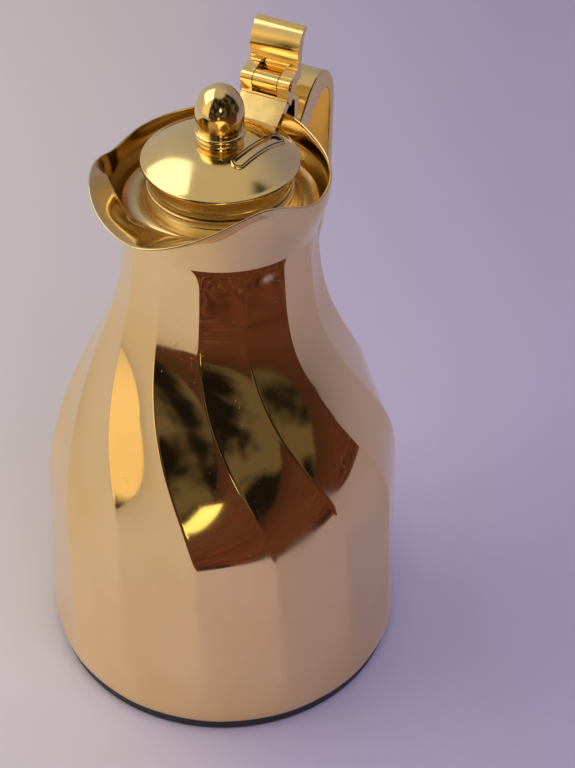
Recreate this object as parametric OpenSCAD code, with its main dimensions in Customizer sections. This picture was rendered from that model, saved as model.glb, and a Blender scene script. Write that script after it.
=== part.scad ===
// Vacuum dallah: a gold-plated insulated coffee jug with spiral facets, a glass liner,
// a spouted collar and a hinged lid with a thumb lever.
// Origin: centre of the foot's rest face. +Z up, handle towards +X, spout towards -X.

/* [Body] */
// Radius of the belly over the creases, just above the bottom edge
belly_r = 76; // [62:1:92]
// Radius over the creases where the shoulder starts
shoulder_r = 73.5; // [60:1:90]
// Height where the shoulder starts
shoulder_low = 80; // [66:1:96]
// Height where the shoulder has run into the neck
shoulder_high = 190; // [160:1:206]
// Radius of the neck at the top of the shoulder
neck_low_r = 39; // [36.5:0.5:46]
// Radius of the neck under the collar
neck_top_r = 35.6; // [34:0.2:36.4]
// Height of the collar's lower edge
collar_z = 213; // [206:1:256]
// Thickness of the sheet that the shell is drawn from
sheet_t = 1; // [0.6:0.1:1.4]
// Number of flat gores around the body
gores = 14; // [10:1:18]
// Turn of the creases through the shoulder, in degrees
twist = 29; // [0:1:40]
// Further turn of the creases down the belly, in degrees
drift = 4; // [0:1:8]

/* [Foot and base plug] */
// Height of the foot ring that shows under the shell
foot_h = 4.5; // [3:0.5:7]
// Radius of the base plug
plug_r = 30; // [24:1:36]
// Turn that frees the base plug's lugs, in degrees
plug_lug_turn = 60; // [40:1:70]

/* [Collar] */
// Radius of the collar's lower edge
collar_r = 37; // [36.8:0.1:38.4]
// Radius of the crease where the rim breaks outwards
crease_r = 40.7; // [39.5:0.1:44]
// Height of that crease above the collar's lower edge
crease_h = 13; // [10:0.5:16]
// Reach of the spout's lip from the axis
lip_reach = 63; // [52:1:70]
// Radius of the rim at the sides
rim_side_r = 41.5; // [40:0.5:46]
// Radius of the rim at the back
rim_back_r = 38; // [37:0.5:42]
// Middle height of the rim above the collar's lower edge
rim_h = 22.6; // [18:0.2:26]
// Height of the two wings beside the lip
wing_h = 10; // [0:0.5:12]
// Thickness of the collar's wall
collar_t = 1.2; // [0.8:0.1:1.6]

/* [Mouth and liner] */
// Radius of the pouring mouth
mouth_r = 21; // [17:0.5:21.5]
// Outer radius of the pouring ring's lip, which the lid sits over
ring_r = 27.5; // [26:0.5:29]
// Wall of the glass
glass_t = 1.6; // [1.2:0.1:2.2]
// Vacuum gap between the two glass walls
vacuum_gap = 5; // [3:0.5:7]
// Gap between the shell's flats and the liner's belly
liner_gap = 10; // [6:0.5:18]

/* [Lid] */
// Radius of the lid disc
lid_r = 29.3; // [28.5:0.1:32]
// Height of the lid's edge above the collar's lower edge
lid_h = 24; // [23:0.5:28]
// Rise of the lid's cone from its edge to the knob's seat
lid_rise = 7.6; // [5:0.2:10]
// Radius of the knob's ball
knob_r = 9; // [7:0.2:10.5]
// Height of the knob's dome above its widest place
knob_dome = 11; // [8:0.5:13]
// Depth of the stopper below the pouring ring's lip
stopper_depth = 12; // [8:0.5:13]

/* [Hinge and lever] */
// Distance of the hinge pin from the body's axis
pin_x = 39; // [38:0.5:44]
// Height of the hinge pin above the collar's lower edge
pin_h = 36; // [34:0.5:40]
// Radius of the hinge pin
pin_r = 1.5; // [1.2:0.1:2]
// Radius of the knuckles
knuckle_r = 3.5; // [3:0.1:4.2]
// Width across the knuckles
hinge_w = 20; // [16:0.5:24]
// Width of the middle knuckle
barrel_w = 10; // [7:0.5:12]
// Height of the lever above the pin
lever_h = 20; // [15:0.5:26]
// Set-back of the lever's tip behind the pin
lever_back = 12; // [6:0.5:15]

/* [Handle] */
// Distance of the handle's outer face from the axis
handle_reach = 82; // [78:1:98]
// Width of the handle
handle_w = 17; // [14:0.5:20]
// Thickness of the handle's grip
grip_t = 3.6; // [3:0.2:6]
// Height where the handle's lower end meets the shoulder
handle_low = 140; // [132:1:150]

/* [Fits] */
// Gap between pieces that are fixed together but are made apart
fixed_gap = 0.3; // [0.2:0.05:0.5]
// Radial clearance of a running fit
running_gap = 0.05; // [0.02:0.01:0.1]
// Gap beside moving faces
side_gap = 0.3; // [0.3:0.05:0.6]

/* [Hidden] */
$fn = 96;

gold = [0.86, 0.66, 0.3];
black = [0.08, 0.08, 0.08];

// shell
edge_in = 3;                     // how far the bottom edge curls in
edge_h = 8;                      // height of that curl
crease_phase = 195.4;            // direction of one crease at the neck, in degrees
flat_share = 1 - cos(180 / gores);
columns = 2 * gores;
shell_top = collar_z + 3;
sleeve_r = neck_top_r - 0.2;     // round top of the shell inside the collar
neck_line_z = shoulder_high - 10;
ring_heights = concat([foot_h, foot_h + 2.5, foot_h + 5.5, foot_h + 9.5, foot_h + 15, foot_h + 25,
                       (foot_h + 25 + shoulder_low) / 2],
                      [for (i = [0:12]) shoulder_low + (shoulder_high - shoulder_low) * i / 12],
                      [shoulder_high + (collar_z - shoulder_high) * 0.35,
                       shoulder_high + (collar_z - shoulder_high) * 0.7, collar_z - 2,
                       collar_z - 0.2, shell_top]);

// collar and mouth
sleeve_in_r = sleeve_r + fixed_gap + 0.1;
seat_z = shell_top;              // the pouring ring rests on the shell's top edge
seat_r = collar_r - fixed_gap;
floor_z = collar_z + 10.5;       // floor of the bowl inside the collar
ring_top = collar_z + 14.7;      // the pouring ring's lip
mouth_wall = 1.2;
gasket_top = seat_z - 2;
liner_top = gasket_top - 6;
gasket_r = mouth_r + 7.5;
lip_half = 70;                   // half the angle that the lip takes up
wing_at = 42;                    // where the wings stand, from the spout's middle
wing_half = 48;
brim_out = 1.2;                  // how far the lip's crease stands out and up from the side's crease
brim_up = 3.3;
wing_out = 3.2;                  // how far out it stands in a wing, and how far below the rim
wing_flare = 4.5;

// liner
liner_r = shoulder_r * (1 - flat_share) - sheet_t - liner_gap;
liner_neck_r = mouth_r + mouth_wall + 0.8 + glass_t + 3;
liner_low = foot_h + 21.5;       // lowest point of the outer glass
liner_belly_low = liner_low + 26;
liner_belly_high = shoulder_low + 18;
liner_neck_z = shoulder_high - 22;

// base
foot_r = belly_r - edge_in + 0.5;
spigot_r = (belly_r - edge_in - sheet_t) * cos(180 / columns) - fixed_gap;
floor_t = 2.5;
bore_land = 1.5;                 // depth of the plug's bore below the foot's top
plug_low = 1.5;                  // the plug stays clear of the table
plug_top = foot_h + 6.5;
lug_z = foot_h + floor_t + 0.5;  // underside of the lugs

// lid stack, from the mouth up
lid_z = collar_z + lid_h;
skirt_r = ring_r - 1;
skirt_low = ring_top + side_gap;
seal_t = 1.2;
seal_low = ring_top + 0.1;
flange_t = 1.8;
flange_z = seal_low + seal_t;
disc_t = 1.2;
edge_t = 1.8;                    // height of the disc's rolled edge
knob_seat_z = lid_z + edge_t / 2 + lid_rise;
stopper_top_r = mouth_r - 1.2;
stopper_low_r = stopper_top_r - 0.5 * stopper_depth;
stopper_low = ring_top - stopper_depth;
stud_r = 2;
stud_hole_r = stud_r + 0.1;
knob_ring_h = 4.7;
ball_z = knob_seat_z + knob_ring_h + 6.4;
tag_l = 29;                      // blank tag on the cone
tag_w = 5.4;
tag_t = 0.9;
tag_off = lid_r * 0.495;         // distance of the tag from the axis
tag_x = 2;
tag_turn = -10;

// hinge
pin_z = collar_z + pin_h;
lever_foot = 7.4;                // how far the lever's plate stands behind the pin
leaf_t = 3;
plate_x = rim_back_r + 4.6;      // front face of the bracket's standing plate
plate_t = 3;
plate_top_z = pin_z - lever_foot - 0.2;  // the lever's foot swings over the plate
web_low_z = pin_z - 8.3;         // the web stays clear of the rim
web_half = 0.9;

// handle
root_low = collar_z - 9;
root_x = 41;
seat_top_z = collar_z + 13;      // flat top of the root, which the hinge bracket stands on
crown_z = collar_z + 26.5;
crown_x = handle_reach - 15;
foot_x = shell_r(handle_low);
screw_r = 2;
upper_screw_z = collar_z - 5;

function clamp01(v) = min(1, max(0, v));
function smooth(v) = clamp01(v) * clamp01(v) * (3 - 2 * clamp01(v));
function mix(a, b, t) = a + (b - a) * t;
function arc(cx, cz, r, a0, a1, n) = [for (i = [0:n]) [cx + r * cos(mix(a0, a1, i / n)),
                                                      cz + r * sin(mix(a0, a1, i / n))]];
// cubic curve from p to s with q and r as its handles
function curve(p, q, r, s, n) = [for (i = [0:n]) let (t = i / n, u = 1 - t)
    p * pow(u, 3) + q * 3 * u * u * t + r * 3 * u * t * t + s * pow(t, 3)];

// radius of the shell over its creases at height z
function belly_at(z) = mix(belly_r, shoulder_r, clamp01((z - 12) / (shoulder_low - 12)));
function neck_at(z) = mix(neck_low_r, neck_top_r, (z - neck_line_z) / (collar_z - neck_line_z));
function curl_at(z) = edge_in * (1 - sqrt(1 - pow(clamp01((foot_h + edge_h - z) / edge_h), 2)));
function shell_r(z) = z > collar_z - 0.3 ? sleeve_r :
    mix(neck_at(z), belly_at(z), smooth((shoulder_high - z) / (shoulder_high - shoulder_low)))
    - curl_at(z);
// how flat the gores are: round at both ends
function flatness(z) = smooth((z - foot_h - 2) / 18) * smooth((collar_z - 2 - z) / 10);
// turn of the creases at height z
function crease_turn(z) = twist * smooth((shoulder_high - 9 - z) / (shoulder_high - shoulder_low - 18))
    + drift * clamp01((shoulder_low - z) / shoulder_low);

function shell_point(z, j, inset) =
    let (a = crease_phase + crease_turn(z) + j * 360 / columns,
         r = shell_r(z) * (j % 2 == 0 ? 1 : 1 - flat_share * flatness(z)) - inset)
    [r * cos(a), r * sin(a), z];

// faces of a closed tube: rows of n points outside, then the same rows inside
function tube_faces(rows, n) = let (m = rows * n) concat(
    [for (i = [0:rows - 2], j = [0:n - 1]) [i * n + j, (i + 1) * n + j, (i + 1) * n + (j + 1) % n]],
    [for (i = [0:rows - 2], j = [0:n - 1]) [i * n + j, (i + 1) * n + (j + 1) % n, i * n + (j + 1) % n]],
    [for (i = [0:rows - 2], j = [0:n - 1])
        [m + i * n + j, m + (i + 1) * n + (j + 1) % n, m + (i + 1) * n + j]],
    [for (i = [0:rows - 2], j = [0:n - 1])
        [m + i * n + j, m + i * n + (j + 1) % n, m + (i + 1) * n + (j + 1) % n]],
    [for (j = [0:n - 1]) [j, (j + 1) % n, m + (j + 1) % n]],
    [for (j = [0:n - 1]) [j, m + (j + 1) % n, m + j]],
    [for (j = [0:n - 1]) let (t = (rows - 1) * n) [t + j, m + t + j, m + t + (j + 1) % n]],
    [for (j = [0:n - 1]) let (t = (rows - 1) * n) [t + j, m + t + (j + 1) % n, t + (j + 1) % n]]);

// ring of rectangular section
module ring(r_in, r_out, z0, z1) {
    translate([0, 0, z0]) difference() {
        cylinder(r = r_out, h = z1 - z0);
        translate([0, 0, -1]) cylinder(r = r_in, h = z1 - z0 + 2);
    }
}

// cylinder along X from x0 to x1 at height z
module rod_x(r, x0, x1, z) {
    translate([x0, 0, z]) rotate([0, 90, 0]) cylinder(r = r, h = x1 - x0, $fn = 48);
}

// cylinder along the hinge pin
module rod_y(r, y0, y1) {
    translate([pin_x, y1, pin_z]) rotate([90, 0, 0]) cylinder(r = r, h = y1 - y0, $fn = 64);
}

// plate whose side view is an outline in X and Z
module side_plate(points, y0, y1) {
    translate([0, y1, 0]) rotate([90, 0, 0]) linear_extrude(height = y1 - y0) polygon(points);
}

// ---- body ----

// drawn brass shell: flat gores that meet in creases, which swing round through the shoulder
module body_shell() {
    color(gold) difference() {
        polyhedron(points = concat([for (z = ring_heights, j = [0:columns - 1]) shell_point(z, j, 0)],
                                   [for (z = ring_heights, j = [0:columns - 1])
                                       shell_point(z, j, sheet_t)]),
                   faces = tube_faces(len(ring_heights), columns));
        for (z = [upper_screw_z, handle_low])
            rod_x(screw_r + 0.2, shell_r(z) - 6, shell_r(z) + 6, z);
    }
}

// ---- collar ----

function lip(d) = abs(d) < lip_half ? pow(cos(90 * d / lip_half), 2) : 0;
function wing(d) = abs(abs(d) - wing_at) < wing_half
    ? pow(cos(90 * (abs(d) - wing_at) / wing_half), 2) : 0;
function rim_r(d) = rim_side_r + (lip_reach - rim_side_r) * lip(d)
    - (rim_side_r - rim_back_r) * smooth((abs(d) - 100) / 50);
function rim_z(d) = collar_z + rim_h - 1.5 * cos(d) + 2.4 * cos(2 * d) + wing_h * wing(d);

// the crease at angle d from the spout: round the lip it stands out as a brim, and climbs into the wings
function brim(d) = smooth((lip_half + 2 - abs(d)) / 24);
function climb(d) = smooth((abs(d) - 18) / 32);
function crease(d) = let (base = collar_z + crease_h)
    [crease_r + brim(d) * mix(brim_out, wing_out, climb(d)),
     base + brim(d) * mix(brim_up, rim_z(d) - base - wing_flare, climb(d))];

// the collar's section at angle d from the spout: outside going up, then inside
function collar_outside(d) = let (c = crease(d))
    [[collar_r, collar_z], [mix(collar_r, crease_r, 0.5), collar_z + crease_h / 2], c,
     [mix(c[0], rim_r(d), 0.5), mix(c[1], rim_z(d), 0.45)], [rim_r(d), rim_z(d)]];
function collar_inside(d) = let (c = crease(d), run = rim_r(d) - c[0], rise = rim_z(d) - c[1],
        l = norm([run, rise]), nx = -rise / l * collar_t, nz = run / l * collar_t)
    [[sleeve_in_r, collar_z], [sleeve_in_r, seat_z], [seat_r, seat_z],
     [c[0] - collar_t, c[1] + nz / 2], [rim_r(d) + nx, rim_z(d) + nz]];
collar_steps = 48;

// spun and planished brass collar with its spout lip; it is held by the pouring ring
module collar() {
    d_at = [for (j = [0:collar_steps - 1]) let (d = j * 360 / collar_steps) d > 180 ? d - 360 : d];
    color(gold) polyhedron(
        points = concat(
            [for (i = [0:4], d = d_at) let (p = collar_outside(d)[i])
                [p[0] * cos(180 + d), p[0] * sin(180 + d), p[1]]],
            [for (i = [0:4], d = d_at) let (p = collar_inside(d)[i])
                [p[0] * cos(180 + d), p[0] * sin(180 + d), p[1]]]),
        faces = tube_faces(5, collar_steps));
}

// bowl floor, pouring lip and sleeve in one turned piece
module pouring_ring() {
    color(gold) rotate_extrude() polygon([
        [mouth_r, liner_top - 8], [mouth_r + mouth_wall, liner_top - 8],
        [mouth_r + mouth_wall, gasket_top], [gasket_r, gasket_top], [gasket_r, seat_z],
        [seat_r - fixed_gap, seat_z], [seat_r - fixed_gap, floor_z - 3],
        [seat_r - 2, floor_z - 1.2], [seat_r - 5, floor_z], [ring_r, floor_z],
        [ring_r, ring_top - 0.6], [ring_r - 0.6, ring_top], [mouth_r + 0.8, ring_top],
        [mouth_r, ring_top - 0.8]]);
}

// rubber ring squeezed between the glass mouth and the pouring ring
module neck_gasket() {
    color(black) ring(mouth_r + mouth_wall, gasket_r, liner_top, gasket_top);
}

// ---- glass liner ----

// half outline of a bottle skin with a round bottom, up to its top
function bottle(r, neck_r, top, inset) = concat(
    arc(0, liner_belly_low, r, -90, 0, 12),
    [for (i = [0:10]) let (t = i / 10)
        [mix(r, neck_r, smooth(t)), mix(liner_belly_high - inset, liner_neck_z - inset * 0.5, t)]],
    [[neck_r, top]]);
// squashes the round bottom to the height that it has
function flat_bottom(p, r, low) = [for (q = p) q[1] < liner_belly_low
    ? [q[0], liner_belly_low - (liner_belly_low - q[1]) * (liner_belly_low - low) / r] : q];

module bottle_solid(r, neck_r, low, top, inset) {
    outline = flat_bottom(bottle(r, neck_r, top, inset), r, low);
    rotate_extrude() polygon(concat(outline, [[0, top]]));
}

inner_r = liner_r - glass_t - vacuum_gap;
inner_neck_r = liner_neck_r - glass_t - 1.4;
inner_low = liner_low + glass_t + vacuum_gap;
glass_lip = 2;

// outer wall of the vacuum flask, with the lip that joins the two walls
module liner_outer() {
    color([0.8, 0.82, 0.85]) difference() {
        bottle_solid(liner_r, liner_neck_r, liner_low, liner_top, 0);
        bottle_solid(liner_r - glass_t, liner_neck_r - glass_t, liner_low + glass_t,
                     liner_top - glass_lip, 1);
        translate([0, 0, liner_top - glass_lip - 1]) cylinder(r = inner_neck_r, h = glass_lip + 2);
    }
}

// inner wall of the vacuum flask, which holds the coffee
module liner_inner() {
    color([0.85, 0.87, 0.9]) difference() {
        bottle_solid(inner_r, inner_neck_r, inner_low, liner_top - glass_lip, 2);
        bottle_solid(inner_r - glass_t, inner_neck_r - glass_t, inner_low + glass_t,
                     liner_top + 1, 3);
    }
}

// rubber cup that carries the flask on the base
module liner_cushion() {
    cup_r = liner_r * 0.6;
    color(black) difference() {
        translate([0, 0, plug_top + side_gap]) cylinder(r1 = plug_r - 3, r2 = cup_r, h = 16);
        bottle_solid(liner_r, liner_neck_r, liner_low, liner_top, 0);
    }
}

// ---- base ----

module lugs(grow) {
    for (k = [0:2]) rotate([0, 0, 120 * k]) intersection() {
        ring(plug_r - 2, plug_r + 3 + grow, lug_z - 2 * grow, lug_z + 3 + 2 * grow);
        rotate([0, 0, -12 - grow * 2]) translate([0, 0, lug_z - 5])
            rotate_extrude(angle = 24 + 4 * grow) square([plug_r + 6, 14]);
    }
}

// black foot ring and floor, pushed into the shell's bottom edge
module base_ring() {
    bore_r = plug_r + running_gap;
    color(black) difference() {
        rotate_extrude() polygon([
            [spigot_r - 6, 0], [foot_r - 1, 0], [foot_r, 1], [foot_r, foot_h],
            [spigot_r, foot_h], [spigot_r, foot_h + 6], [spigot_r - 2.5, foot_h + 6],
            [spigot_r - 2.5, foot_h + floor_t], [bore_r, foot_h + floor_t],
            [bore_r, foot_h - bore_land], [bore_r + 3, foot_h - bore_land],
            [bore_r + 4.5, foot_h], [spigot_r - 7.5, foot_h], [spigot_r - 6, foot_h - 1.5]]);
        // notches that the lugs drop through when the plug is turned
        rotate([0, 0, plug_lug_turn]) for (k = [0:2]) rotate([0, 0, 120 * k])
            rotate([0, 0, -15]) translate([0, 0, -1]) rotate_extrude(angle = 30)
                translate([plug_r - 1, 0]) square([4.6, foot_h + floor_t + 4]);
    }
}

// bayonet plug under the flask, turned by its cross bar
module base_plug() {
    color(black) union() {
        difference() {
            translate([0, 0, plug_low]) cylinder(r = plug_r, h = plug_top - plug_low);
            translate([0, 0, plug_low - 1]) cylinder(r = plug_r - 5, h = plug_top - plug_low - 2);
        }
        translate([-plug_r + 4.5, -2.5, plug_low]) cube([2 * plug_r - 9, 5, plug_top - plug_low - 2]);
        lugs(0);
    }
}

// ring that keeps spills out of the foot
module plug_seal() {
    color([0.25, 0.25, 0.25]) ring(plug_r + running_gap + 0.2, plug_r + 1.9,
                                   foot_h - bore_land - 1.7, foot_h - bore_land);
}

// ---- handle ----

// top and outer side of the strap, from the collar over the crown to the shoulder
function handle_outer() = concat(
    [[root_x - 8, seat_top_z]],
    curve([plate_x + plate_t + 1, seat_top_z], [plate_x + 11, seat_top_z],
          [crown_x - 9, crown_z], [crown_x, crown_z], 8),
    curve([crown_x + 0.5, crown_z], [crown_x + 8, crown_z], [handle_reach, crown_z - 7],
          [handle_reach, crown_z - 18], 8),
    curve([handle_reach, collar_z - 21], [handle_reach, collar_z - 37],
          [foot_x + 17, handle_low + 19], [foot_x + 8, handle_low + 6], 8),
    [[foot_x + 4, handle_low - 5], [foot_x, handle_low - 9], [foot_x - 8, handle_low - 9]]);
// inner side of the strap, from the shoulder back up to the collar
function handle_inner() = concat(
    [[foot_x - 8, handle_low + 14]],
    curve([foot_x + 1, handle_low + 14], [foot_x + 8, handle_low + 22],
          [handle_reach - grip_t, collar_z - 35], [handle_reach - grip_t, collar_z - 20], 8),
    curve([handle_reach - grip_t, crown_z - 22], [handle_reach - grip_t, crown_z - 14],
          [crown_x + 10, crown_z - 9], [crown_x + 5, crown_z - 9.6], 6),
    curve([crown_x + 4, crown_z - 9.7], [crown_x - 6, crown_z - 12],
          [root_x + 12, collar_z + 1], [root_x + 2, root_low], 8),
    [[root_x - 8, root_low]]);

// what the strap is cut to: the collar and the neck above, the shell below
module handle_seat() {
    rotate_extrude() polygon(concat(
        [[0, foot_h]],
        [for (z = ring_heights) if (z < collar_z - 1) [shell_r(z) + fixed_gap, z]],
        [[collar_r + fixed_gap, collar_z - 1], [crease_r + fixed_gap, collar_z + crease_h],
         [crease_r + fixed_gap, collar_z + crease_h + 12], [0, collar_z + crease_h + 12]]));
}

// cast brass strap, bolted to the shell from inside at both ends
module handle() {
    color(gold) difference() {
        side_plate(concat(handle_outer(), handle_inner()), -handle_w / 2, handle_w / 2);
        handle_seat();
        rod_x(screw_r, shell_r(upper_screw_z) - 5, root_x + 1.5, upper_screw_z);
        rod_x(screw_r, shell_r(handle_low) - 5, shell_r(handle_low) + 4.5, handle_low);
        for (s = [-1, 1]) translate([plate_x + plate_t / 2, s * handle_w / 4, collar_z - 1])
            cylinder(r = 1.25, h = 20, $fn = 32);
    }
}

// two screws that pull the handle onto the shell
module handle_screws() {
    color([0.6, 0.6, 0.6]) for (p = [[upper_screw_z, root_x + 1], [handle_low, shell_r(handle_low) + 4]]) {
        head_x = shell_r(p[0]) * (1 - flat_share) - sheet_t - 1.6;
        rod_x(screw_r, head_x - 1, p[1], p[0]);
        rod_x(3.4, head_x - 2.4, head_x, p[0]);
    }
}

// washers under the two screw heads
module handle_washers() {
    color([0.7, 0.7, 0.7]) for (z = [upper_screw_z, handle_low])
        translate([shell_r(z) * (1 - flat_share) - sheet_t - 1.6, 0, z]) rotate([0, 90, 0])
            difference() {
                cylinder(r = 4.2, h = 0.8, $fn = 48);
                translate([0, 0, -1]) cylinder(r = screw_r + 0.1, h = 3, $fn = 48);
            }
}

// ---- hinge ----

// standing plate behind the rim with the middle knuckle on top
module hinge_bracket() {
    color(gold) difference() {
        union() {
            side_plate([[plate_x, seat_top_z], [plate_x + plate_t, seat_top_z],
                        [plate_x + plate_t, plate_top_z], [plate_x, plate_top_z]],
                       -hinge_w / 2 + 0.5, hinge_w / 2 - 0.5);
            side_plate([[pin_x - web_half, pin_z - 2.5], [pin_x - web_half, web_low_z],
                        [plate_x + 1, web_low_z - 2.6], [plate_x + 1, plate_top_z - 0.4],
                        [pin_x + web_half, plate_top_z - 0.2], [pin_x + web_half, pin_z - 2]],
                       -barrel_w / 2, barrel_w / 2);
            rod_y(knuckle_r, -barrel_w / 2, barrel_w / 2);
        }
        rod_y(pin_r + running_gap, -barrel_w, barrel_w);
        for (s = [-1, 1]) translate([plate_x + plate_t / 2, s * handle_w / 4, seat_top_z - 1])
            cylinder(r = 1.0, h = 7, $fn = 32);
    }
}

// two studs that hold the bracket on the handle's root
module bracket_screws() {
    color([0.6, 0.6, 0.6]) for (s = [-1, 1])
        translate([plate_x + plate_t / 2, s * handle_w / 4, seat_top_z - 5])
            cylinder(r = 1.0, h = 10.5, $fn = 32);
}

// pin through the three knuckles, peened at both ends
module hinge_pin() {
    color(gold) union() {
        rod_y(pin_r, -hinge_w / 2 - 0.4, hinge_w / 2 + 0.4);
        for (s = [-1, 1]) translate([pin_x, s * (hinge_w / 2 + 0.35), pin_z]) rotate([90, 0, 0])
            translate([0, 0, -0.35]) cylinder(r = pin_r + 0.7, h = 0.7, $fn = 48);
    }
}

// ---- lid ----

// outside of the lid disc: rolled edge, then a shallow cone that flattens at the knob
function disc_outline() = concat(
    arc(lid_r - edge_t / 2, lid_z, edge_t / 2, -90, 70, 8),
    [for (i = [1:6]) let (t = i / 6)
        [mix(lid_r - edge_t / 2, knob_r, t),
         lid_z + edge_t / 2 + lid_rise * (t + 0.22 * sin(180 * t))]],
    [[0, knob_seat_z]]);
module disc_envelope() {
    rotate_extrude() polygon(concat([[0, lid_z - edge_t / 2]], disc_outline()));
}

// gold cover of the lid
module lid_disc() {
    color(gold) difference() {
        disc_envelope();
        translate([0, 0, -disc_t]) intersection() {
            disc_envelope();
            cylinder(r = lid_r - edge_t - 0.6, h = lid_z * 2);
        }
        translate([0, 0, lid_z - edge_t]) cylinder(r = lid_r - edge_t - 0.6, h = edge_t);
        cylinder(r = stud_hole_r, h = lid_z * 2);
    }
}

// skirt under the disc, which closes over the pouring ring
module lid_ring() {
    color(gold) ring(skirt_r - 1.6, skirt_r, skirt_low, lid_z - edge_t / 2);
}

// hollow plastic stopper with the flange that carries the seal
module stopper_body() {
    wall = 1.5;
    color([0.9, 0.88, 0.82]) rotate_extrude() polygon([
        [stud_hole_r, stopper_low], [stopper_low_r, stopper_low], [stopper_top_r, flange_z],
        [skirt_r - 1.7, flange_z], [skirt_r - 1.7, flange_z + flange_t],
        [stopper_top_r - wall, flange_z + flange_t], [stopper_low_r - wall, stopper_low + wall],
        [stud_hole_r, stopper_low + wall]]);
}

// insulating foam that fills the stopper
module stopper_foam() {
    color([0.95, 0.93, 0.85]) rotate_extrude() polygon([
        [stud_hole_r, stopper_low + 1.6], [stopper_low_r - 1.9, stopper_low + 1.6],
        [stopper_top_r - 1.9, flange_z + flange_t], [stopper_top_r - 1.9, lid_z - edge_t / 2 + 1.5],
        [stud_hole_r, lid_z + edge_t / 2 + 1.5]]);
}

// silicone ring that seals the lid on the pouring ring
module stopper_seal() {
    color([0.85, 0.85, 0.85]) ring(stopper_top_r + 0.9, skirt_r - 1.7, seal_low, flange_z);
}

// ball of the knob, tapped from below
module knob() {
    ring_top_z = knob_seat_z + knob_ring_h;
    color(gold) rotate_extrude() polygon(concat(
        [[stud_r, ring_top_z], [knob_r * 0.94, ring_top_z], [knob_r * 0.98, mix(ring_top_z, ball_z, 0.4)]],
        [for (a = [0:6:90]) [knob_r * cos(a), ball_z + knob_dome * sin(a)]],
        [[0, ball_z], [stud_r, ball_z]]));
}

// grooved foot of the knob
module knob_ring() {
    z0 = knob_seat_z;
    color(gold) rotate_extrude() polygon([
        [stud_hole_r, z0], [knob_r - 0.4, z0], [knob_r - 0.8, z0 + 0.5],
        [knob_r * 0.9, z0 + 1.2], [knob_r * 0.9, z0 + 2.2], [knob_r, z0 + 2.6],
        [knob_r + 0.4, z0 + 3.1], [knob_r + 0.4, z0 + 3.9], [knob_r + 0.1, z0 + 4.4],
        [knob_r * 0.94, z0 + knob_ring_h], [stud_hole_r, z0 + knob_ring_h]]);
}

// threaded stud that ties knob, disc and stopper together
module knob_stud() {
    color([0.6, 0.6, 0.6]) translate([0, 0, stopper_low - 3.4])
        cylinder(r = stud_r, h = ball_z - stopper_low + 3);
}

// nut under the stopper
module stud_nut() {
    color([0.6, 0.6, 0.6]) difference() {
        translate([0, 0, stopper_low - 3]) cylinder(r = 4, h = 3, $fn = 6);
        cylinder(r = stud_r, h = lid_z);
    }
}

// outline of the tag, raised through the height of the lid
module tag_block() {
    half = (tag_l - tag_w) / 2;
    translate([tag_x, -tag_off, lid_z - 4]) rotate([0, 0, tag_turn]) {
        translate([-half, -tag_w / 2, 0]) cube([2 * half, tag_w, 24]);
        for (s = [-1, 1]) translate([s * half, 0, 0]) cylinder(r = tag_w / 2, h = 24, $fn = 48);
    }
}

// blank tag with round ends, bent to the cone beside the knob
module label_plate() {
    color(gold) difference() {
        intersection() {
            tag_block();
            translate([0, 0, tag_t]) disc_envelope();
        }
        disc_envelope();
    }
}

// leaf on the lid, outer knuckles and thumb lever in one piece
module lid_arm() {
    half = hinge_w / 2;
    inner = barrel_w / 2 + side_gap;
    tip_x = pin_x + lever_back;
    tip_z = pin_z + lever_h;
    back_x = pin_x + lever_foot;
    // front of the plate going up: groove, scoop and rolled tip; then down its back
    lever = [[back_x - 2.9, pin_z + 0.6], [back_x - 3, pin_z + 7], [back_x - 1.9, pin_z + 7.6],
             [back_x - 1.9, pin_z + 8.6], [back_x - 2.9, pin_z + 9.4], [back_x - 2.4, pin_z + 13.4],
             [back_x - 0.8, tip_z - 3.4], [tip_x - 3.2, tip_z - 1], [tip_x - 0.8, tip_z],
             [tip_x, tip_z - 1], [tip_x - 0.8, tip_z - 2.2], [back_x + 3, tip_z - 3.6],
             [back_x + 1.8, pin_z + 14.6], [back_x + 0.9, pin_z + 11], [back_x, pin_z + 5],
             [back_x, pin_z - 0.3]];
    top = [pin_x - 3.1, pin_z - 5];
    low = [lid_r - 2.2, lid_z + 1];
    run = (top - low) / norm(top - low);
    under = [run[1], -run[0]] * leaf_t;
    leaf = [low, low + under, top + under, top];
    block = [[pin_x, pin_z + knuckle_r], [pin_x + 4.2, pin_z + 5], [back_x - 1, pin_z + 7],
             [back_x, pin_z + 5.2], [back_x, pin_z + 1.2], [pin_x + 3.5, pin_z - 1.5],
             top + under + [1, 0.4], top + under, top, [pin_x - knuckle_r, pin_z - 0.5]];
    color(gold) difference() {
        union() {
            side_plate(leaf, -half + 0.5, half - 0.5);
            side_plate(lever, -half, half);
            for (y = [-half, inner]) {
                rod_y(knuckle_r, y, y + half - inner);
                side_plate(block, y, y + half - inner);
            }
        }
        rod_y(knuckle_r + 0.6, -inner, inner);
        rod_y(pin_r, -hinge_w, hinge_w);
        disc_envelope();
    }
}

body_shell();
collar();
pouring_ring();
neck_gasket();
liner_outer();
liner_inner();
liner_cushion();
base_ring();
base_plug();
plug_seal();
handle();
handle_screws();
handle_washers();
hinge_bracket();
bracket_screws();
hinge_pin();
lid_arm();
lid_disc();
lid_ring();
stopper_body();
stopper_foam();
stopper_seal();
knob();
knob_ring();
knob_stud();
stud_nut();
label_plate();
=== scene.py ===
import math

import bpy
from mathutils import Matrix, Vector


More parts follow.
